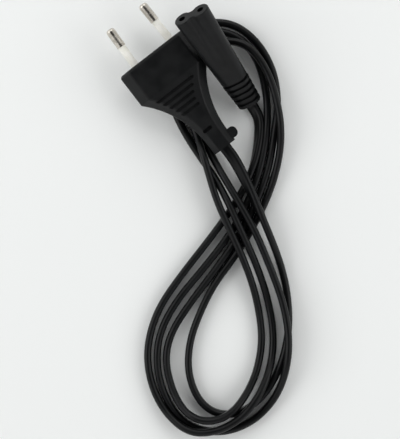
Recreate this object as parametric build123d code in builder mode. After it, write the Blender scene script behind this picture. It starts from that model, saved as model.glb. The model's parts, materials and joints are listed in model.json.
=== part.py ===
from build123d import *
from math import cos, pi, radians, sin, sqrt, tan
import os

os.makedirs("parts", exist_ok=True)

# Mains lead in millimetres: a two-pin plug and a figure-eight connector on one flat
# twin flex, which lies in loose loops on a surface at z = 0. Seen from above, +X is
# right and +Y is up the view.

# Flat twin flex
cord_width = 5.2
cord_thickness = 3.1
core_radius = 1.05
core_pitch = 2.2
strand_radius = 0.5
grip_clearance = 0.05

# Plug housing, from the end of its tail (0) up to its face
plug_length = 50.8
plug_width = 35.3
plug_thickness = 13.7
shoulder_height = 35.6
neck_height = 5.6
neck_width = 10.8
neck_thickness = 8.0
bevel_run = 4.6
bevel_rise = 4.6
plug_edge_round = 1.6
plug_rim_round = 1.5
flare_steps = 6
plug_roll = -4.0
plug_cord_grip = 8.0

# Lug at the tail, grip grooves and the dimple of the moulding tool
lug_reach = 8.6
lug_width = 4.7
lug_height = 0.9
lug_thickness = 4.0
groove_count = 5
groove_pitch = 2.65
groove_top = 32.4
groove_width = 1.3
groove_depth = 0.8
groove_margin = 6.9
dimple_length = 4.5
dimple_width = 1.7
dimple_depth = 1.5
dimple_height = 10.6
dimple_offset = 1.25

# Pins, measured from the face: the sleeves stand on the shanks
pin_base_pitch = 18.6
pin_tip_pitch = 17.5
pin_length = 19.0
pin_tip_radius = 2.0
pin_tip_round = 1.3
sleeve_length = 10.0
sleeve_radius = 1.75
sleeve_root = 3.0
shank_radius = 1.3
flange_radius = 2.4
flange_thickness = 1.5
flange_depth = 10.5
crimp_length = 6.0
crimp_wall = 0.8
crimp_stop = 0.6
carrier_width = 26.6
carrier_thickness = 8.8
carrier_cover = 1.6

# Connector, from the end of its strain relief (0) up to its face
connector_length = 52.0
relief_length = 14.3
connector_width = 15.8
connector_height = 7.9
connector_rear_width = 12.1
connector_rear_height = 7.3
valley_depth = 0.85
valley_angle = 35.0
connector_steps = 5
connector_rim_round = 0.5
connector_roll = -18.0
connector_cord_grip = 9.0
rib_count = 5
rib_pitch = 2.9
rib_thickness = 1.45
rib_width = 12.3
rib_end_width = 10.7
rib_height = 7.3
rib_end_height = 6.8
relief_core_width = 9.2
relief_core_end_width = 7.8
relief_core_height = 5.6
relief_core_end_height = 5.0

# Contacts in the connector
socket_pitch = 8.6
socket_entry_radius = 1.45
socket_entry_depth = 4.0
contact_bore = 1.25
contact_wall = 0.5
contact_length = 15.0
contact_slit = 0.5
contact_back = 1.0
contact_clearance = 0.05
contact_crimp_length = 5.5
insert_wall = 0.45
insert_back = 1.0

# Spans of the route over which the flex turns from flat to standing on its edge
twist_steps = 12
plug_twist_spans = 6
connector_twist_spans = 12

# Centre line of the flex from the plug's tail to the strain relief. It stands on its
# edge at z = 2.6 on the surface and at z = 8.1 where it crosses over another turn.
route = [
    (17.60, -28.92, 10.2), (21.68, -34.22, 9.8), (27.25, -44.74, 8.6), (32.25, -55.90, 8.1),
    (37.24, -67.52, 7), (41.50, -78.37, 3.4), (44.58, -90.52, 2.6), (45.66, -104.38, 2.6),
    (43.93, -116.94, 2.6), (40.03, -127.77, 2.6), (33.31, -137.74, 2.6), (23.78, -144.45, 2.6),
    (12.96, -144.23, 2.6), (5.38, -137.30, 2.6), (1.48, -125.61, 2.6), (2.34, -112.61, 2.6),
    (6.89, -100.05, 2.6), (12.96, -87.92, 2.6), (22.49, -75.36, 2.6), (31.15, -61.07, 2.6),
    (38.08, -45.90, 2.6), (41.65, -30.84, 4.8), (41.70, -18.94, 8.1), (39.77, -8.20, 8.1),
    (36.76, 1.69, 8.1), (31.60, 10.71, 8.1), (25.37, 15.87, 8.1), (17.44, 17.07, 7),
    (9.92, 14.56, 4.3), (4.51, 8.65, 2.8), (2.56, -0.86, 2.6), (3.86, -11.25, 2.6),
    (7.11, -20.78, 2.6), (10.14, -28.15, 2.7), (13.16, -34.71, 4.4), (17.86, -43.00, 7.6),
    (24.08, -53.32, 8.1), (30.53, -64.92, 8.1), (35.25, -76.10, 8.1), (39.55, -86.84, 8.1),
    (42.99, -97.16, 8.1), (45.14, -109.62, 8.1), (44.71, -121.22, 8.1), (41.91, -132.39, 4),
    (36.56, -141.20, 2.6), (28.55, -148.13, 2.6), (18.15, -152.03, 2.6), (7.76, -151.60, 2.6),
    (-1.77, -146.62, 2.6), (-9.14, -135.57, 2.6), (-12.17, -122.14, 2.6), (-10.65, -108.71, 2.6),
    (-3.50, -95.29, 2.6), (8.19, -81.42, 2.6), (19.45, -67.13, 2.6), (27.90, -52.40, 2.6),
    (33.31, -37.67, 2.6), (36.13, -21.65, 2.6), (35.91, -6.49, 2.6), (33.10, 6.08, 2.6),
    (28.12, 14.96, 2.6), (21.19, 20.37, 2.6), (12.52, 21.89, 2.6), (4.73, 19.07, 2.6),
    (-0.69, 12.57, 2.6), (-2.42, 2.61, 2.6), (-0.91, -7.79, 2.6), (2.78, -16.88, 2.6),
    (5.81, -24.30, 3.6), (8.18, -31.83, 8.1), (10.76, -40.86, 8.1), (13.98, -51.60, 8.1),
    (18.92, -62.78, 8.1), (24.94, -75.67, 8.1), (29.32, -86.94, 5.5), (32.45, -99.18, 2.6),
    (33.96, -112.18, 2.6), (31.80, -125.17, 2.6), (27.40, -134.88, 5), (21.50, -142.49, 8.1),
    (14.41, -146.58, 8.1), (6.03, -146.58, 8.1), (-0.88, -141.98, 5.2), (-5.89, -132.11, 2.6),
    (-8.27, -119.98, 2.6), (-5.67, -108.71, 2.6), (2.56, -96.15, 2.6), (13.17, -82.29, 2.6),
    (23.35, -68.00, 2.6), (31.37, -52.84, 2.6), (36.78, -37.67, 2.6), (39.16, -22.95, 2.6),
    (40.89, -9.09, 2.6), (38.73, 4.78, 2.6), (32.23, 16.47, 2.6), (23.35, 23.84, 2.6),
    (14.26, 25.78, 2.6), (5.16, 24.05, 2.6), (-2.42, 18.20, 2.6), (-6.32, 9.11, 2.6),
    (-6.75, -1.72, 2.6), (-4.80, -11.68, 2.6), (-1.34, -19.48, 2.6), (3.21, -27.28, 2.6),
    (8.19, -34.64, 2.6), (12.73, -40.95, 3.4), (16.37, -47.27, 6), (20.21, -55.26, 8.1),
    (26.02, -67.93, 8.1), (31.46, -80.03, 6), (36.13, -93.55, 2.6), (38.73, -107.85, 2.6),
    (38.30, -119.98, 2.6), (35.08, -130.36, 7), (30.10, -139.27, 8.1), (22.79, -147.01, 8.1),
    (12.48, -151.73, 8.1), (1.51, -151.63, 7.3), (-8.25, -143.46, 3.6), (-14.12, -132.11, 2.6),
    (-16.28, -119.11, 2.6), (-14.33, -106.98, 2.6), (-9.57, -95.72, 2.6), (0.83, -81.42, 2.6),
    (11.66, -67.78, 2.6), (21.19, -54.57, 2.6), (27.25, -43.96, 2.6), (30.50, -35.51, 2.6),
    (32.02, -28.14, 2.6), (32.66, -22.08, 2.6), (32.71, -18.18, 2.55), (31.89, -14.70, 2.4),
    (29.48, -10.73, 2), (28.31, -9.14, 3.4),
]

up = Vector(0, 0, 1)


def seat(foot, back, turn):
    # plane square to back; its x is level and its y points up before the turn about back
    level = up.cross(back).normalized()
    rise = Vector(back).cross(level)
    return Plane(origin=foot, x_dir=level * cos(radians(turn)) + rise * sin(radians(turn)), z_dir=back)


def direction(start, end):
    return (Vector(*end) - Vector(*start)).normalized()


plug_seat = seat(route[0], direction(route[1], route[0]), plug_roll)
connector_seat = seat(route[-1], direction(route[-2], route[-1]), connector_roll)


def flare(height, neck, full):
    # half size at a height: straight neck, hollow arc up to the shoulder, straight front
    rise = shoulder_height - neck_height
    spread = (full - neck) / 2
    radius = (rise**2 + spread**2) / (2 * spread)
    climb = min(max(height - neck_height, 0), rise)
    return neck / 2 + radius - sqrt(radius**2 - climb**2)


def plug_section(height):
    # bevelled oblong across the plug
    half_width = flare(height, neck_width, plug_width)
    half_thickness = flare(height, neck_thickness, plug_thickness)
    share = 2 * half_thickness / plug_thickness
    inner = half_width - bevel_run * share
    lower = half_thickness - bevel_rise * share
    with BuildSketch(Plane.XY.offset(height)) as section:
        Polygon(
            (half_width, lower), (inner, half_thickness), (-inner, half_thickness), (-half_width, lower),
            (-half_width, -lower), (-inner, -half_thickness), (inner, -half_thickness), (half_width, -lower),
            align=None,
        )
        fillet(section.vertices(), plug_edge_round * share)
    return section.sketch


def pin_axis(side):
    lean = side * (pin_tip_pitch - pin_base_pitch) / 2
    return Vector(lean, 0, pin_length).normalized()


def pin_point(side, along):
    return Vector(side * pin_base_pitch / 2, 0, plug_length) + pin_axis(side) * along


def axial_plane(foot, axis):
    # sketch plane with x square to the axis and y along it
    return Plane(origin=foot, x_dir=(0, 1, 0), z_dir=Vector(0, 1, 0).cross(axis))


# Pins: crimp barrel, flange, shank and bare tip, turned as one piece
crimp_root = -(flange_depth + flange_thickness)
crimp_mouth = crimp_root - crimp_length
pins = {}
sleeves = {}
for hand, side in (("left", 1), ("right", -1)):
    foot = pin_point(side, 0)
    with BuildPart() as pin:
        with BuildSketch(axial_plane(foot, pin_axis(side))) as profile:
            with BuildLine():
                Polyline(
                    (0, crimp_root - crimp_stop), (strand_radius, crimp_root - crimp_stop),
                    (strand_radius, crimp_mouth), (strand_radius + crimp_wall, crimp_mouth),
                    (strand_radius + crimp_wall, crimp_root), (flange_radius, crimp_root),
                    (flange_radius, -flange_depth), (shank_radius, -flange_depth),
                    (shank_radius, sleeve_length), (pin_tip_radius, sleeve_length),
                    (pin_tip_radius, pin_length), (0, pin_length), close=True,
                )
            make_face()
            fillet(profile.vertices().group_by(Axis.Y)[-1].sort_by(Axis.X)[-1], pin_tip_round)
        revolve(axis=Axis(foot, pin_axis(side)))
    pins[hand] = pin
    with BuildPart() as sleeve:
        with BuildSketch(Plane(origin=pin_point(side, -sleeve_root), x_dir=(0, 1, 0), z_dir=pin_axis(side))):
            Circle(sleeve_radius)
            Circle(shank_radius, mode=Mode.SUBTRACT)
        extrude(amount=sleeve_root + sleeve_length)
    sleeves[hand] = sleeve

# Pin carrier: the hard bridge that the pins are pressed into
carrier_height = flange_depth - carrier_cover
with BuildPart() as pin_carrier:
    with BuildSketch(Plane.XY.offset(plug_length - flange_depth)):
        SlotOverall(carrier_width, carrier_thickness)
    extrude(amount=carrier_height)
    for hand in pins:
        add(pins[hand].part, mode=Mode.SUBTRACT)
        add(sleeves[hand].part, mode=Mode.SUBTRACT)

# Cores from the stripped flex to the crimps, each insulation round its copper
plug_cores = {}
plug_strands = {}
core_bend = 4.0
core_lead = 6.0
core_bare = 0.5
for hand, side in (("left", 1), ("right", -1)):
    core_foot = Vector(side * core_pitch / 2, 0, plug_cord_grip)
    core_end = pin_point(side, crimp_mouth - core_bare)
    core_turn = core_foot + Vector(0, 0, core_lead)
    core_rise = pin_point(side, crimp_mouth - core_bend)
    strand_end = pin_point(side, crimp_root - crimp_stop)
    with BuildPart() as strands:
        with BuildLine():
            FilletPolyline(core_foot, core_turn, core_rise, strand_end, radius=core_bend)
        with BuildSketch(Plane(origin=core_foot, z_dir=(0, 0, 1))):
            Circle(strand_radius)
        sweep()
    plug_strands[hand] = strands
    with BuildPart() as core:
        with BuildLine():
            FilletPolyline(core_foot, core_turn, core_rise, core_end, radius=core_bend)
        with BuildSketch(Plane(origin=core_foot, z_dir=(0, 0, 1))):
            Circle(core_radius)
        sweep()
        add(strands.part, mode=Mode.SUBTRACT)
    plug_cores[hand] = core

# Plug housing, moulded round all of these
with BuildPart() as plug_body:
    add(plug_section(neck_height))
    extrude(amount=-neck_height)
    for step in range(flare_steps + 1):
        share = step / flare_steps
        add(plug_section(neck_height + share * (shoulder_height - neck_height)))
    loft()
    add(plug_section(shoulder_height))
    extrude(amount=plug_length - shoulder_height)
    fillet(plug_body.faces().sort_by(Axis.Z)[-1].edges(), plug_rim_round)
    with BuildSketch(Plane.XZ) as lug:
        with Locations((-lug_reach / 2, lug_height + lug_width / 2)):
            Rectangle(lug_reach, lug_width)
        fillet(lug.vertices().group_by(Axis.X)[0], lug_width / 2 - 0.3)
    extrude(amount=lug_thickness / 2, both=True)
    # grooves run out at one flank on top, and at the other flank underneath
    for face in (1, -1):
        for number in range(groove_count):
            height = groove_top - number * groove_pitch
            floor = flare(height, neck_thickness, plug_thickness) - groove_depth
            stop = max(flare(height, neck_width, plug_width) - groove_margin, 3)
            reach = stop + plug_width / 2
            with BuildSketch(Plane(origin=(0, face * floor, height), x_dir=(face, 0, 0), z_dir=(0, face, 0))):
                with Locations((reach / 2 - stop, 0)):
                    SlotOverall(reach, groove_width)
            extrude(amount=plug_thickness, mode=Mode.SUBTRACT)
        dimple_floor = flare(dimple_height, neck_thickness, plug_thickness) - dimple_depth
        dimple_plane = Plane(
            origin=(face * dimple_offset, face * dimple_floor, dimple_height),
            x_dir=(face, 0, 0),
            z_dir=(0, face, 0),
        )
        with BuildSketch(dimple_plane):
            SlotOverall(dimple_length, dimple_width)
        extrude(amount=plug_thickness, mode=Mode.SUBTRACT)
    with BuildSketch(Plane.XY):
        SlotOverall(cord_width + 2 * grip_clearance, cord_thickness + 2 * grip_clearance)
    extrude(amount=plug_cord_grip, mode=Mode.SUBTRACT)
    add(pin_carrier.part, mode=Mode.SUBTRACT)
    for hand in pins:
        add(pins[hand].part, mode=Mode.SUBTRACT)
        add(sleeves[hand].part, mode=Mode.SUBTRACT)
        add(plug_cores[hand].part, mode=Mode.SUBTRACT)
        add(plug_strands[hand].part, mode=Mode.SUBTRACT)


def connector_section(height):
    # two lobes side by side with a valley between them that dies out towards the rear
    share = (height - relief_length) / (connector_length - relief_length)
    half_width = (connector_rear_width + share * (connector_width - connector_rear_width)) / 2
    lobe = (connector_rear_height + share * (connector_height - connector_rear_height)) / 2
    depth = max(share, 0.03)
    centre = half_width - lobe
    lean = radians(valley_angle * depth)
    inner = centre - lobe * sin(lean)
    edge = lobe * cos(lean)
    middle = edge - valley_depth * depth
    with BuildSketch(Plane.XY.offset(height)) as section:
        with BuildLine():
            ThreePointArc((inner, edge), (half_width, 0), (inner, -edge))
            ThreePointArc((inner, -edge), (0, -middle), (-inner, -edge))
            ThreePointArc((-inner, -edge), (-half_width, 0), (-inner, edge))
            ThreePointArc((-inner, edge), (0, middle), (inner, edge))
        make_face()
    return section.sketch


# Contacts: rolled sockets with a slit, a closed back and a crimp barrel
entry_floor = connector_length - socket_entry_depth
contact_foot = entry_floor - contact_length
contact_radius = contact_bore + contact_wall
contact_crimp_mouth = contact_foot - contact_back - contact_crimp_length
contacts = {}
for hand, side in (("left", 1), ("right", -1)):
    centre = side * socket_pitch / 2
    with BuildPart() as contact:
        with BuildSketch(Plane.XY.offset(contact_foot - contact_back)):
            with Locations((centre, 0)):
                Circle(contact_radius)
        extrude(amount=contact_back + contact_length)
        with BuildSketch(Plane.XY.offset(contact_foot)):
            with Locations((centre, 0)):
                Circle(contact_bore)
            with Locations((centre + side * contact_bore, 0)):
                Rectangle(2 * contact_bore, contact_slit)
        extrude(amount=contact_length, mode=Mode.SUBTRACT)
        with BuildSketch(Plane.XY.offset(contact_crimp_mouth)):
            with Locations((centre, 0)):
                Circle(contact_bore)
        extrude(amount=contact_crimp_length)
        with BuildSketch(Plane.XY.offset(contact_crimp_mouth)):
            with Locations((centre, 0)):
                Circle(strand_radius)
        extrude(amount=contact_crimp_length, mode=Mode.SUBTRACT)
    contacts[hand] = contact

# Insert: the hard block that holds the contacts behind the entry holes
insert_radius = contact_radius + insert_wall
insert_foot = contact_foot - contact_back - insert_back
with BuildPart() as connector_insert:
    with BuildSketch(Plane.XY.offset(insert_foot)):
        SlotCenterToCenter(socket_pitch, 2 * insert_radius)
    extrude(amount=entry_floor - insert_foot)
    with BuildSketch(Plane.XY.offset(insert_foot)):
        with Locations((-socket_pitch / 2, 0), (socket_pitch / 2, 0)):
            Circle(contact_bore)
    extrude(amount=insert_back, mode=Mode.SUBTRACT)
    with BuildSketch(Plane.XY.offset(contact_foot - contact_back)):
        with Locations((-socket_pitch / 2, 0), (socket_pitch / 2, 0)):
            Circle(contact_radius + contact_clearance)
    extrude(amount=contact_back + contact_length, mode=Mode.SUBTRACT)

# Cores from the stripped flex to the contacts
connector_cores = {}
connector_strands = {}
contact_lead = 2.5
for hand, side in (("left", 1), ("right", -1)):
    centre = side * socket_pitch / 2
    core_foot = Vector(side * core_pitch / 2, 0, connector_cord_grip)
    core_turn = core_foot + Vector(0, 0, contact_lead)
    core_rise = Vector(centre, 0, contact_crimp_mouth - contact_lead)
    core_end = Vector(centre, 0, contact_crimp_mouth - core_bare)
    strand_end = Vector(centre, 0, contact_foot - contact_back)
    with BuildPart() as strands:
        with BuildLine():
            FilletPolyline(core_foot, core_turn, core_rise, strand_end, radius=core_bend)
        with BuildSketch(Plane(origin=core_foot, z_dir=(0, 0, 1))):
            Circle(strand_radius)
        sweep()
    connector_strands[hand] = strands
    with BuildPart() as core:
        with BuildLine():
            FilletPolyline(core_foot, core_turn, core_rise, core_end, radius=core_bend)
        with BuildSketch(Plane(origin=core_foot, z_dir=(0, 0, 1))):
            Circle(core_radius)
        sweep()
        add(strands.part, mode=Mode.SUBTRACT)
    connector_cores[hand] = core

# Connector housing with its ribbed strain relief
with BuildPart() as connector_body:
    for step in range(connector_steps + 1):
        share = step / connector_steps
        add(connector_section(relief_length + share * (connector_length - relief_length)))
    loft()
    fillet(connector_body.faces().sort_by(Axis.Z)[-1].edges(), connector_rim_round)
    with BuildSketch(Plane.XY):
        SlotOverall(relief_core_end_width, relief_core_end_height)
    with BuildSketch(Plane.XY.offset(relief_length)):
        SlotOverall(relief_core_width, relief_core_height)
    loft()
    for number in range(rib_count):
        share = number / (rib_count - 1)
        with BuildSketch(Plane.XY.offset(number * rib_pitch)):
            SlotOverall(
                rib_end_width + share * (rib_width - rib_end_width),
                rib_end_height + share * (rib_height - rib_end_height),
            )
        extrude(amount=rib_thickness)
    with BuildSketch(Plane.XY):
        SlotOverall(cord_width + 2 * grip_clearance, cord_thickness + 2 * grip_clearance)
    extrude(amount=connector_cord_grip, mode=Mode.SUBTRACT)
    with BuildSketch(Plane.XY.offset(entry_floor)):
        with Locations((-socket_pitch / 2, 0), (socket_pitch / 2, 0)):
            Circle(socket_entry_radius)
    extrude(amount=socket_entry_depth, mode=Mode.SUBTRACT)
    with BuildSketch(Plane.XY.offset(insert_foot)):
        SlotCenterToCenter(socket_pitch, 2 * insert_radius)
    extrude(amount=entry_floor - insert_foot, mode=Mode.SUBTRACT)
    with BuildSketch(Plane.XY.offset(contact_crimp_mouth)):
        with Locations((-socket_pitch / 2, 0), (socket_pitch / 2, 0)):
            Circle(contact_bore)
    extrude(amount=contact_crimp_length, mode=Mode.SUBTRACT)
    for hand in contacts:
        add(connector_cores[hand].part, mode=Mode.SUBTRACT)
        add(connector_strands[hand].part, mode=Mode.SUBTRACT)


def bend_radius(before, corner, after):
    # as large as the shorter run beside the corner allows
    run_in = corner - before
    run_out = after - corner
    turn = radians(run_in.get_angle(run_out))
    return 0.45 * min(run_in.length, run_out.length) / tan(turn / 2)


# Flex: its path is the route with both ends carried on into their grips
grip_start = Vector(*route[0]) + plug_seat.z_dir * plug_cord_grip
grip_end = Vector(*route[-1]) + connector_seat.z_dir * connector_cord_grip
corners = [grip_start] + [Vector(*point) for point in route[1:-1]] + [grip_end]
radii = [bend_radius(*corners[i - 1 : i + 2]) for i in range(1, len(corners) - 1)]
with BuildLine() as centre_line:
    track = FilletPolyline(*corners, radius=radii)
spans = track.order_edges()
plug_twist = Wire(spans[:plug_twist_spans])
connector_twist = Wire(spans[-connector_twist_spans:])
standing = Wire(spans[plug_twist_spans:-connector_twist_spans])


def flex_section(frame):
    with BuildSketch(frame) as section:
        SlotOverall(cord_width, cord_thickness)
    return section.sketch


with BuildPart() as cord:
    add(flex_section(seat(standing @ 0, -(standing % 0), -90)))
    sweep(path=standing)
    held = plug_cord_grip / plug_twist.length
    for step in range(twist_steps + 1):
        share = held + (1 - held) * step / twist_steps
        turn = plug_roll - (90 + plug_roll) * step / twist_steps
        add(flex_section(seat(plug_twist @ share, -(plug_twist % share), turn)))
    loft()
    held = connector_cord_grip / connector_twist.length
    for step in range(twist_steps + 1):
        share = (1 - held) * step / twist_steps
        turn = -90 + (90 + connector_roll) * step / twist_steps
        add(flex_section(seat(connector_twist @ share, connector_twist % share, turn)))
    loft()
    add(flex_section(plug_seat))
    extrude(amount=plug_cord_grip, dir=plug_seat.z_dir)
    add(flex_section(connector_seat))
    extrude(amount=connector_cord_grip, dir=connector_seat.z_dir)

section_area = (cord_width - cord_thickness) * cord_thickness + pi * cord_thickness**2 / 4
print("cord length", round(track.length, 1), "tightest bend", round(min(radii), 1))
print("cord volume over section times length", round(cord.part.volume / section_area / track.length, 4))

# Labels, places and files
plug_pieces = {"plug_body": plug_body, "pin_carrier": pin_carrier}
connector_pieces = {"connector_body": connector_body, "connector_insert": connector_insert}
for hand, colour in (("left", "brown"), ("right", "blue")):
    plug_pieces[hand + "_pin"] = pins[hand]
    plug_pieces[hand + "_pin_sleeve"] = sleeves[hand]
    plug_pieces[colour + "_core_plug_end"] = plug_cores[hand]
    plug_pieces[colour + "_strands_plug_end"] = plug_strands[hand]
    connector_pieces[hand + "_contact"] = contacts[hand]
    connector_pieces[colour + "_core_connector_end"] = connector_cores[hand]
    connector_pieces[colour + "_strands_connector_end"] = connector_strands[hand]
for pieces, place in ((plug_pieces, plug_seat), (connector_pieces, connector_seat)):
    for name, piece in pieces.items():
        piece.part.label = name
        piece.part.location = place.location
        export_step(piece.part, "parts/" + name + ".step")
cord.part.label = "cord"
export_step(cord.part, "parts/cord.step")
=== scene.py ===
import json
import math

import bpy
import numpy as np
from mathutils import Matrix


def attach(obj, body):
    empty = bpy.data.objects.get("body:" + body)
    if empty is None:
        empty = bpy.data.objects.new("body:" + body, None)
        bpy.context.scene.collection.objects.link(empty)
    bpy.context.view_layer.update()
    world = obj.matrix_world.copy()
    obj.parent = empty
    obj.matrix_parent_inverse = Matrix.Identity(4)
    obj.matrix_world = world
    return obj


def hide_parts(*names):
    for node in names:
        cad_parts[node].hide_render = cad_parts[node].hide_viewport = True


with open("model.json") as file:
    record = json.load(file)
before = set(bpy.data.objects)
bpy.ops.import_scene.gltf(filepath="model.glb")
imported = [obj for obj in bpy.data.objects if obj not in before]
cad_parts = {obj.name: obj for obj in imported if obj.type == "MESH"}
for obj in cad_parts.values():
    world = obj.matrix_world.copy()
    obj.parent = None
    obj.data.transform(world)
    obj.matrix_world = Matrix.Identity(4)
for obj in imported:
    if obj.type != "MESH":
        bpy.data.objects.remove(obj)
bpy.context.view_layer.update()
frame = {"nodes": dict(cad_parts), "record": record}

scene = bpy.context.scene
scene.view_settings.view_transform = "Standard"

# View from straight above, in metres: the height of floor that it shows is 439 pixels at
# 2.3 pixels per mm; the sensor's height is in mm
view = dict(height=0.1909, centre=(0.00689, -0.05998), distance=0.7, sensor=24.0)

# Flat flex, in metres: its section, its length, the lengths held in each grip and those
# over which it turns onto its edge; turns are in degrees from lying flat
flex = dict(
    width=0.0052, thickness=0.0031, waist=0.00007, length=1.545,
    plugGrip=0.008, plugTwist=0.037, plugTurn=4.0,
    connectorGrip=0.009, connectorTwist=0.031, connectorTurn=162.0,
    edgeTurn=90.0, roundPoints=9, flatPoints=3, pointsPerSpan=8, leastStep=1e-6,
)

# Moulded plastic: mottle and rub in metres, detail in octaves of noise
moulded = dict(
    mottle=0.004, rubShare=0.45, mottleDetail=3.0, rubDetail=5.0, grainDetail=2.0, strength=0.6,
)

# Plated metal: turned scratches and the drift of its tone, in metres
plated = dict(
    scratch=0.00018, drift=0.003, depth=0.000012, driftDetail=4.0, scratchDetail=2.0, strength=0.5,
)

# Drawn plastic: features per metre along the flex and round its section, depths in metres
drawn = dict(
    streak=dict(scale=(30.0, 2500.0, 1.0), detail=2.0),
    cloud=dict(scale=(90.0, 250.0, 1.0), detail=4.0),
    grain=dict(scale=(2200.0, 5000.0, 1.0), detail=2.0),
    streakDepth=0.00003, grainDepth=0.00002, strength=0.5,
)

# Floor: half its side in metres, and its paper
stage = dict(half=1.5, paper="#f4f6f5", roughness=0.9)

# Square soft lights: place and size in metres, power in watts
lamps = [
    dict(name="left softbox", place=(-0.95, 0.05, 0.75), size=0.9, power=4.9),
    dict(name="right softbox", place=(0.95, 0.0, 0.75), size=0.9, power=3.7),
    dict(name="top softbox", place=(0.05, 0.85, 0.75), size=0.9, power=3.7),
    dict(name="near softbox", place=(0.0, -0.95, 0.75), size=0.9, power=1.6),
]

# Studio room: grey of its walls and of its ceiling, and the heights of direction, from 0
# at the horizon to 1 straight up, between which one turns into the other
room = dict(wall=1.0, ceiling=0.03, start=0.55, end=0.95, strength=0.75)

# Route of the flex's middle line, in metres, from inside the plug to inside the connector
routePoints = [
    (0.01273, -0.02259, 0.01068),
    (0.01760, -0.02892, 0.0102), (0.02168, -0.03422, 0.0098), (0.02725, -0.04474, 0.0086),
    (0.03225, -0.05590, 0.0081), (0.03724, -0.06752, 0.007), (0.04150, -0.07837, 0.0034),
    (0.04458, -0.09052, 0.0026), (0.04566, -0.10438, 0.0026), (0.04393, -0.11694, 0.0026),
    (0.04003, -0.12777, 0.0026), (0.03331, -0.13774, 0.0026), (0.02378, -0.14445, 0.0026),
    (0.01296, -0.14423, 0.0026), (0.00538, -0.13730, 0.0026), (0.00148, -0.12561, 0.0026),
    (0.00234, -0.11261, 0.0026), (0.00689, -0.10005, 0.0026), (0.01296, -0.08792, 0.0026),
    (0.02249, -0.07536, 0.0026), (0.03115, -0.06107, 0.0026), (0.03808, -0.04590, 0.0026),
    (0.04165, -0.03084, 0.0048), (0.04170, -0.01894, 0.0081), (0.03977, -0.00820, 0.0081),
    (0.03676, 0.00169, 0.0081), (0.03160, 0.01071, 0.0081), (0.02537, 0.01587, 0.0081),
    (0.01744, 0.01707, 0.007), (0.00992, 0.01456, 0.0043), (0.00451, 0.00865, 0.0028),
    (0.00256, -0.00086, 0.0026), (0.00386, -0.01125, 0.0026), (0.00711, -0.02078, 0.0026),
    (0.01014, -0.02815, 0.0027), (0.01316, -0.03471, 0.0044), (0.01786, -0.04300, 0.0076),
    (0.02408, -0.05332, 0.0081), (0.03053, -0.06492, 0.0081), (0.03525, -0.07610, 0.0081),
    (0.03955, -0.08684, 0.0081), (0.04299, -0.09716, 0.0081), (0.04514, -0.10962, 0.0081),
    (0.04471, -0.12122, 0.0081), (0.04191, -0.13239, 0.004), (0.03656, -0.14120, 0.0026),
    (0.02855, -0.14813, 0.0026), (0.01815, -0.15203, 0.0026), (0.00776, -0.15160, 0.0026),
    (-0.00177, -0.14662, 0.0026), (-0.00914, -0.13557, 0.0026), (-0.01217, -0.12214, 0.0026),
    (-0.01065, -0.10871, 0.0026), (-0.00350, -0.09529, 0.0026), (0.00819, -0.08142, 0.0026),
    (0.01945, -0.06713, 0.0026), (0.02790, -0.05240, 0.0026), (0.03331, -0.03767, 0.0026),
    (0.03613, -0.02165, 0.0026), (0.03591, -0.00649, 0.0026), (0.03310, 0.00608, 0.0026),
    (0.02812, 0.01496, 0.0026), (0.02119, 0.02037, 0.0026), (0.01252, 0.02189, 0.0026),
    (0.00473, 0.01907, 0.0026), (-0.00069, 0.01257, 0.0026), (-0.00242, 0.00261, 0.0026),
    (-0.00091, -0.00779, 0.0026), (0.00278, -0.01688, 0.0026), (0.00581, -0.02430, 0.0036),
    (0.00818, -0.03183, 0.0081), (0.01076, -0.04086, 0.0081), (0.01398, -0.05160, 0.0081),
    (0.01892, -0.06278, 0.0081), (0.02494, -0.07567, 0.0081), (0.02932, -0.08694, 0.0055),
    (0.03245, -0.09918, 0.0026), (0.03396, -0.11218, 0.0026), (0.03180, -0.12517, 0.0026),
    (0.02740, -0.13488, 0.005), (0.02150, -0.14249, 0.0081), (0.01441, -0.14658, 0.0081),
    (0.00603, -0.14658, 0.0081), (-0.00088, -0.14198, 0.0052), (-0.00589, -0.13211, 0.0026),
    (-0.00827, -0.11998, 0.0026), (-0.00567, -0.10871, 0.0026), (0.00256, -0.09615, 0.0026),
    (0.01317, -0.08229, 0.0026), (0.02335, -0.06800, 0.0026), (0.03137, -0.05284, 0.0026),
    (0.03678, -0.03767, 0.0026), (0.03916, -0.02295, 0.0026), (0.04089, -0.00909, 0.0026),
    (0.03873, 0.00478, 0.0026), (0.03223, 0.01647, 0.0026), (0.02335, 0.02384, 0.0026),
    (0.01426, 0.02578, 0.0026), (0.00516, 0.02405, 0.0026), (-0.00242, 0.01820, 0.0026),
    (-0.00632, 0.00911, 0.0026), (-0.00675, -0.00172, 0.0026), (-0.00480, -0.01168, 0.0026),
    (-0.00134, -0.01948, 0.0026), (0.00321, -0.02728, 0.0026), (0.00819, -0.03464, 0.0026),
    (0.01273, -0.04095, 0.0034), (0.01637, -0.04727, 0.006), (0.02021, -0.05526, 0.0081),
    (0.02602, -0.06793, 0.0081), (0.03146, -0.08003, 0.006), (0.03613, -0.09355, 0.0026),
    (0.03873, -0.10785, 0.0026), (0.03830, -0.11998, 0.0026), (0.03508, -0.13036, 0.007),
    (0.03010, -0.13927, 0.0081), (0.02279, -0.14701, 0.0081), (0.01248, -0.15173, 0.0081),
    (0.00151, -0.15163, 0.0073), (-0.00825, -0.14346, 0.0036), (-0.01412, -0.13211, 0.0026),
    (-0.01628, -0.11911, 0.0026), (-0.01433, -0.10698, 0.0026), (-0.00957, -0.09572, 0.0026),
    (0.00083, -0.08142, 0.0026), (0.01166, -0.06778, 0.0026), (0.02119, -0.05457, 0.0026),
    (0.02725, -0.04396, 0.0026), (0.03050, -0.03551, 0.0026), (0.03202, -0.02814, 0.0026),
    (0.03266, -0.02208, 0.0026), (0.03271, -0.01818, 0.00255), (0.03189, -0.01470, 0.0024),
    (0.02948, -0.01073, 0.002), (0.02831, -0.00914, 0.0034),
    (0.02396, -0.00323, 0.00861),
]


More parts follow.
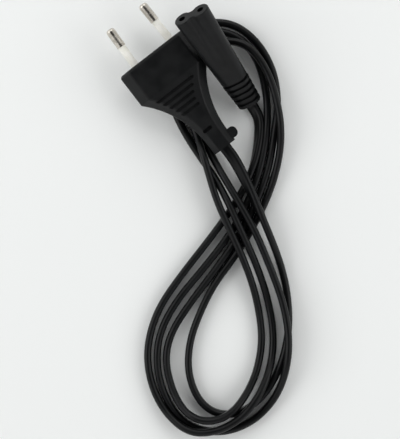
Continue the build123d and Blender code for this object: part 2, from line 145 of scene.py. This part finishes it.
def linear(hexColour):
    # sRGB hex to scene linear: a dark value over 12.92, and for any other the value plus
    # 0.055, over 1.055, to the power 2.4
    parts = [int(hexColour[i : i + 2], 16) / 255 for i in (1, 3, 5)]
    return tuple(p / 12.92 if p <= 0.04045 else ((p + 0.055) / 1.055) ** 2.4 for p in parts)


def colour(hexColour):
    return (*linear(hexColour), 1.0)


def addNode(tree, kind, inputs=None, **settings):
    # one node; an input given as a socket is linked, any other value is set
    node = tree.nodes.new(kind)
    for name, value in settings.items():
        setattr(node, name, value)
    for name, value in (inputs or {}).items():
        if isinstance(value, bpy.types.NodeSocket):
            tree.links.new(value, node.inputs[name])
        else:
            node.inputs[name].default_value = value
    return node


def newMaterial(name, **values):
    material = bpy.data.materials.new(name)
    material.use_nodes = True
    shader = material.node_tree.nodes["Principled BSDF"]
    for socket, value in values.items():
        shader.inputs[socket.replace("_", " ")].default_value = value
    return material, material.node_tree, shader


def ramp(tree, factor, low, high, start=0.35, end=0.65):
    # colour or grey that runs from low to high while the factor runs from start to end
    node = addNode(tree, "ShaderNodeValToRGB", {"Fac": factor})
    node.color_ramp.elements[0].position = start
    node.color_ramp.elements[1].position = end
    node.color_ramp.elements[0].color = low
    node.color_ramp.elements[1].color = high
    return node.outputs["Color"]


def grey(value):
    return (value, value, value, 1.0)


def noise(tree, place, scale, detail):
    inputs = {"Vector": place, "Scale": scale, "Detail": detail}
    return addNode(tree, "ShaderNodeTexNoise", inputs).outputs["Fac"]


def bump(tree, height, depth, strength, under=None):
    # relief of the given depth, laid over the one under it where there is one
    inputs = {"Height": height, "Distance": depth, "Strength": strength}
    if under is not None:
        inputs["Normal"] = under
    return addNode(tree, "ShaderNodeBump", inputs).outputs["Normal"]


def dress(tree, shader, toneNoise, tones, roughNoise, rough, normal):
    # colour between two tones and roughness between two values, each by its own noise
    toneRamp = ramp(tree, toneNoise, colour(tones[0]), colour(tones[1]))
    roughRamp = ramp(tree, roughNoise, grey(rough[0]), grey(rough[1]))
    tree.links.new(toneRamp, shader.inputs["Base Color"])
    tree.links.new(roughRamp, shader.inputs["Roughness"])
    tree.links.new(normal, shader.inputs["Normal"])


def mouldedPlastic(name, tones, rough, grain, depth, **values):
    # colour mottled over a few millimetres, roughness that drifts more slowly, and the fine
    # spark-eroded grain that the mould leaves; a noise's scale is one over its feature size
    material, tree, shader = newMaterial(name, **values)
    place = addNode(tree, "ShaderNodeTexCoord").outputs["Object"]
    clouds = noise(tree, place, 1 / moulded["mottle"], moulded["mottleDetail"])
    rub = noise(tree, place, moulded["rubShare"] / moulded["mottle"], moulded["rubDetail"])
    fine = noise(tree, place, 1 / grain, moulded["grainDetail"])
    normal = bump(tree, fine, depth, moulded["strength"])
    dress(tree, shader, clouds, tones, rub, rough, normal)
    return material


def platedMetal(name, tones, rough):
    # fine turned scratches, and a tone and a polish that drift over a few millimetres
    material, tree, shader = newMaterial(name, Metallic=1.0)
    place = addNode(tree, "ShaderNodeTexCoord").outputs["Object"]
    clouds = noise(tree, place, 1 / plated["drift"], plated["driftDetail"])
    marks = noise(tree, place, 1 / plated["scratch"], plated["scratchDetail"])
    normal = bump(tree, marks, plated["depth"], plated["strength"])
    dress(tree, shader, clouds, tones, clouds, rough, normal)
    return material


def extrudedPlastic(name, tones, rough, **values):
    # streaks follow the flex's length, from the attribute flow, which holds metres along
    # the flex and metres round its section
    material, tree, shader = newMaterial(name, **values)
    flow = addNode(tree, "ShaderNodeAttribute", attribute_name="flow").outputs["Vector"]
    noises = {}
    for kind in ("streak", "cloud", "grain"):
        inputs = {"Vector": flow, "Scale": drawn[kind]["scale"]}
        place = addNode(tree, "ShaderNodeMapping", inputs).outputs["Vector"]
        noises[kind] = noise(tree, place, 1.0, drawn[kind]["detail"])
    streaks = bump(tree, noises["streak"], drawn["streakDepth"], drawn["strength"])
    normal = bump(tree, noises["grain"], drawn["grainDepth"], drawn["strength"], under=streaks)
    dress(tree, shader, noises["cloud"], tones, noises["cloud"], rough, normal)
    return material


# Finishes: two tones, lowest and highest roughness, and for a moulding the size and the
# depth of its grain in metres
materials = {
    "black_pvc": mouldedPlastic(
        "Black moulded PVC", ("#0d0e0f", "#121314"), (0.36, 0.52), 0.00022, 0.00003,
        Specular_IOR_Level=0.2,
    ),
    "flex_pvc": extrudedPlastic(
        "Black extruded PVC", ("#08090a", "#0d0e0f"), (0.3, 0.42), Specular_IOR_Level=0.22,
    ),
    "pin_sleeve": mouldedPlastic("White nylon", ("#ecebe0", "#f8f7f0"), (0.4, 0.55), 0.0003, 0.00002),
    "nickel_plate": platedMetal("Nickel plate", ("#b9b4aa", "#d8d3c9"), (0.2, 0.34)),
    "carrier_nylon": mouldedPlastic("Natural nylon", ("#c9c4b8", "#d9d5ca"), (0.45, 0.6), 0.0003, 0.00002),
    "tinned_contact": platedMetal("Tinned bronze", ("#b3b1ab", "#cbc9c3"), (0.3, 0.45)),
    "brown_core": mouldedPlastic("Brown core PVC", ("#57341d", "#653f26"), (0.4, 0.5), 0.0002, 0.00002),
    "blue_core": mouldedPlastic("Blue core PVC", ("#1f5ea8", "#2a6ab4"), (0.4, 0.5), 0.0002, 0.00002),
    "copper": platedMetal("Copper", ("#c07a52", "#d9946b"), (0.28, 0.4)),
}
print("materials", len(materials))


def makeCamera():
    # the lens is the sensor's height times the distance, over the height shown
    data = bpy.data.cameras.new("Camera")
    data.sensor_fit = "VERTICAL"
    data.sensor_height = view["sensor"]
    data.lens = view["sensor"] * view["distance"] / view["height"]
    camera = bpy.data.objects.new("Camera", data)
    camera.location = (*view["centre"], view["distance"])
    scene.collection.objects.link(camera)
    scene.camera = camera


def routeLine():
    # smooth line of the route: a quadratic NURBS spline with the route's points as its
    # control points, read back as closely spaced points
    data = bpy.data.curves.new("route", "CURVE")
    data.dimensions = "3D"
    spline = data.splines.new("NURBS")
    spline.points.add(len(routePoints) - 1)
    for point, place in zip(spline.points, routePoints):
        point.co = (*place, 1.0)
    spline.order_u = 3
    spline.use_endpoint_u = True
    spline.resolution_u = flex["pointsPerSpan"]
    holder = bpy.data.objects.new("route", data)
    scene.collection.objects.link(holder)
    bpy.context.view_layer.update()
    finished = holder.evaluated_get(bpy.context.evaluated_depsgraph_get())
    mesh = bpy.data.meshes.new_from_object(finished)
    line = np.zeros(3 * len(mesh.vertices))
    mesh.vertices.foreach_get("co", line)
    bpy.data.objects.remove(holder)
    bpy.data.meshes.remove(mesh)
    line = line.reshape(-1, 3)
    steps = np.linalg.norm(np.diff(line, axis=0), axis=1)
    return line[np.concatenate(([True], steps > flex["leastStep"]))]


def flexOutline():
    # two half circles joined by flats that dip a little between the cores
    radius = flex["thickness"] / 2
    half = flex["width"] / 2 - radius
    turn = np.linspace(-math.pi / 2, math.pi / 2, flex["roundPoints"])
    rightSide = np.column_stack((half + radius * np.cos(turn), radius * np.sin(turn)))
    share = np.linspace(0, 1, flex["flatPoints"] + 2)[1:-1]
    top = np.column_stack((half * (1 - 2 * share), radius - flex["waist"] * np.sin(math.pi * share)))
    upper = np.vstack((rightSide, top))
    return np.vstack((upper, -upper))


def unit(vectors):
    return vectors / np.linalg.norm(vectors, axis=-1, keepdims=True)


def meshObject(name, verts, faces, material, smooth=True):
    mesh = bpy.data.meshes.new(name)
    mesh.from_pydata(verts.tolist(), [], faces)
    mesh.materials.append(material)
    mesh.polygons.foreach_set("use_smooth", [smooth] * len(mesh.polygons))
    mesh.update()
    piece = bpy.data.objects.new(name, mesh)
    scene.collection.objects.link(piece)
    return piece


def makeFlex():
    line = routeLine()
    along = np.concatenate(([0], np.cumsum(np.linalg.norm(np.diff(line, axis=0), axis=1))))
    total = along[-1]
    # angle of the section's width from level: flat out of each housing, on its edge between
    plugEnd = flex["plugGrip"]
    connectorEnd = total - flex["connectorGrip"]
    places = [plugEnd, plugEnd + flex["plugTwist"], connectorEnd - flex["connectorTwist"], connectorEnd]
    turns = [flex["plugTurn"], flex["edgeTurn"], flex["edgeTurn"], flex["connectorTurn"]]
    angle = np.radians(np.interp(along, places, turns))
    ahead = unit(np.gradient(line, along, axis=0))
    level = unit(np.cross((0.0, 0.0, 1.0), ahead))
    rise = np.cross(ahead, level)
    across = level * np.cos(angle)[:, None] + rise * np.sin(angle)[:, None]
    depth = np.cross(ahead, across)
    outline = flexOutline()
    rings = len(line)
    around = len(outline)
    verts = (
        line[:, None, :]
        + outline[None, :, 0, None] * across[:, None, :]
        + outline[None, :, 1, None] * depth[:, None, :]
    ).reshape(-1, 3)
    ring = np.arange(rings - 1)[:, None] * around
    spot = np.arange(around)[None, :]
    after = (spot + 1) % around
    quads = np.stack((ring + spot, ring + after, ring + around + after, ring + around + spot), axis=-1)
    faces = quads.reshape(-1, 4).tolist()
    faces.append(list(range(around))[::-1])
    faces.append(list(range((rings - 1) * around, rings * around)))
    piece = meshObject("flat_flex", verts, faces, materials["flex_pvc"])
    edge = np.concatenate(([0], np.cumsum(np.linalg.norm(np.diff(outline, axis=0), axis=1))))
    flow = np.zeros((rings, around, 3))
    flow[:, :, 0] = along[:, None]
    flow[:, :, 1] = edge[None, :]
    piece.data.attributes.new("flow", "FLOAT_VECTOR", "POINT").data.foreach_set("vector", flow.ravel())
    return piece, line, total


makeCamera()
flexPiece, flexLine, flexTotal = makeFlex()
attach(flexPiece, "root")
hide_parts("cord")
connectorNodes = ["connector_body", "connector_insert", "left_contact", "right_contact"]
connectorNodes += [c + k + "_connector_end" for c in ("brown", "blue") for k in ("_core", "_strands")]
print("flex", round(flexTotal, 4), "m of", len(flexLine), "points")

# finish of each carried-over CAD node
for entry in frame["record"]["subparts"]:
    if entry["node"] == "cord":
        continue
    node = frame["nodes"][entry["node"]]
    finish = materials[entry["material_slot"]]
    if not node.material_slots:
        node.data.materials.append(finish)
    for slot in node.material_slots:
        slot.material = finish
print("nodes", len(frame["nodes"]))


def makeStage():
    # plain pale floor, far wider than the lead
    half = stage["half"]
    verts = np.array([(-half, -half, 0), (half, -half, 0), (half, half, 0), (-half, half, 0)], float)
    verts[:, :2] += view["centre"]
    paper, _, _ = newMaterial("Pale paper", Base_Color=colour(stage["paper"]), Roughness=stage["roughness"])
    floor = meshObject("floor", verts, [(0, 1, 2, 3)], paper, smooth=False)


def addLight(name, place, size, power):
    # square soft light that faces the middle of the view
    data = bpy.data.lights.new(name, "AREA")
    data.size = size
    data.energy = power
    light = bpy.data.objects.new(name, data)
    light.location = place
    target = np.array((*view["centre"], 0.0))
    away = np.array(place) - target
    flat = math.hypot(away[0], away[1])
    # tilt from straight down is the arctangent of the level distance over the height
    light.rotation_euler = (math.atan2(flat, away[2]), 0.0, math.atan2(away[1], away[0]) + math.pi / 2)
    scene.collection.objects.link(light)


def makeRoom():
    # the walls are bright and the ceiling over the camera is dark
    world = bpy.data.worlds.new("studio")
    world.use_nodes = True
    tree = world.node_tree
    place = addNode(tree, "ShaderNodeTexCoord").outputs["Generated"]
    height = addNode(tree, "ShaderNodeSeparateXYZ", {"Vector": place}).outputs["Z"]
    tone = ramp(tree, height, grey(room["wall"]), grey(room["ceiling"]), room["start"], room["end"])
    backdrop = tree.nodes["Background"]
    tree.links.new(tone, backdrop.inputs["Color"])
    backdrop.inputs["Strength"].default_value = room["strength"]
    scene.world = world


makeStage()
for lamp in lamps:
    addLight(**lamp)
makeRoom()
print("stage and lights")
